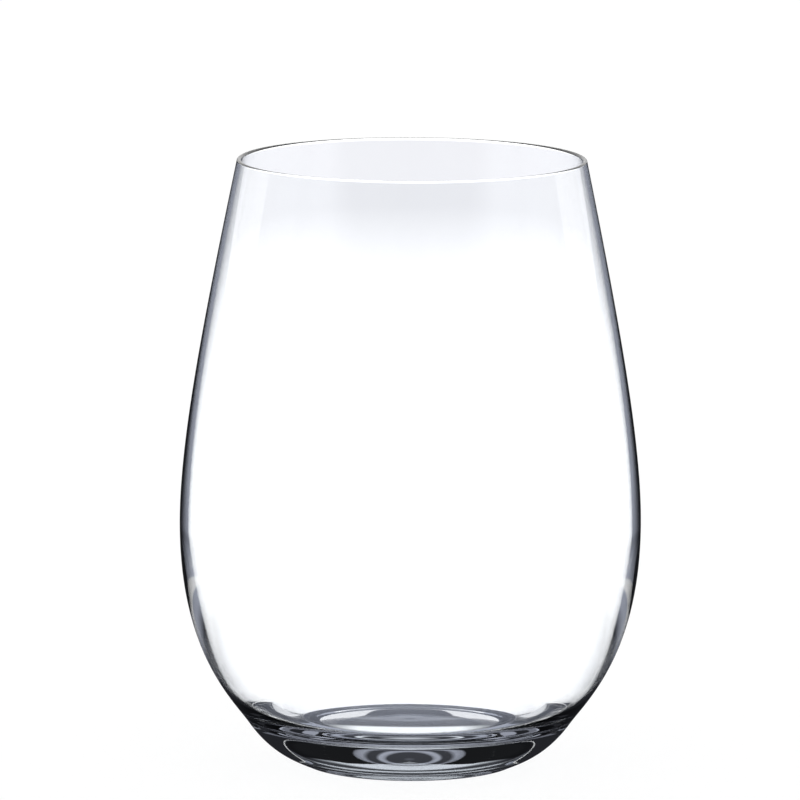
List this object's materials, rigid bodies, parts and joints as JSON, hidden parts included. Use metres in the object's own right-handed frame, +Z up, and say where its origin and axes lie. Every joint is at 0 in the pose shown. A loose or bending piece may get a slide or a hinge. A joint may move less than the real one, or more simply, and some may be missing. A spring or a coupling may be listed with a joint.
{
  "type": "stemless wine glass",
  "caption": "Clear stemless wine glass: egg-shaped bowl with an inward-leaning thin rim, on a thick rounded base.",
  "frame": {"origin": "centre of the ring that the glass stands on, in the plane of the table", "axes": "+Z up along the axis of the glass; X and Y are alike, because the glass is round"},
  "size_m": [0.0956, 0.0956, 0.126],
  "materials": {
    "clear_crystal": "fire-polished clear crystal glass, smooth inside and out"
  },
  "bodies": {
    "root": {"rim": "clear_crystal", "upper_bowl": "clear_crystal", "lower_bowl": "clear_crystal", "base": "clear_crystal"}
  },
  "joints": []
}
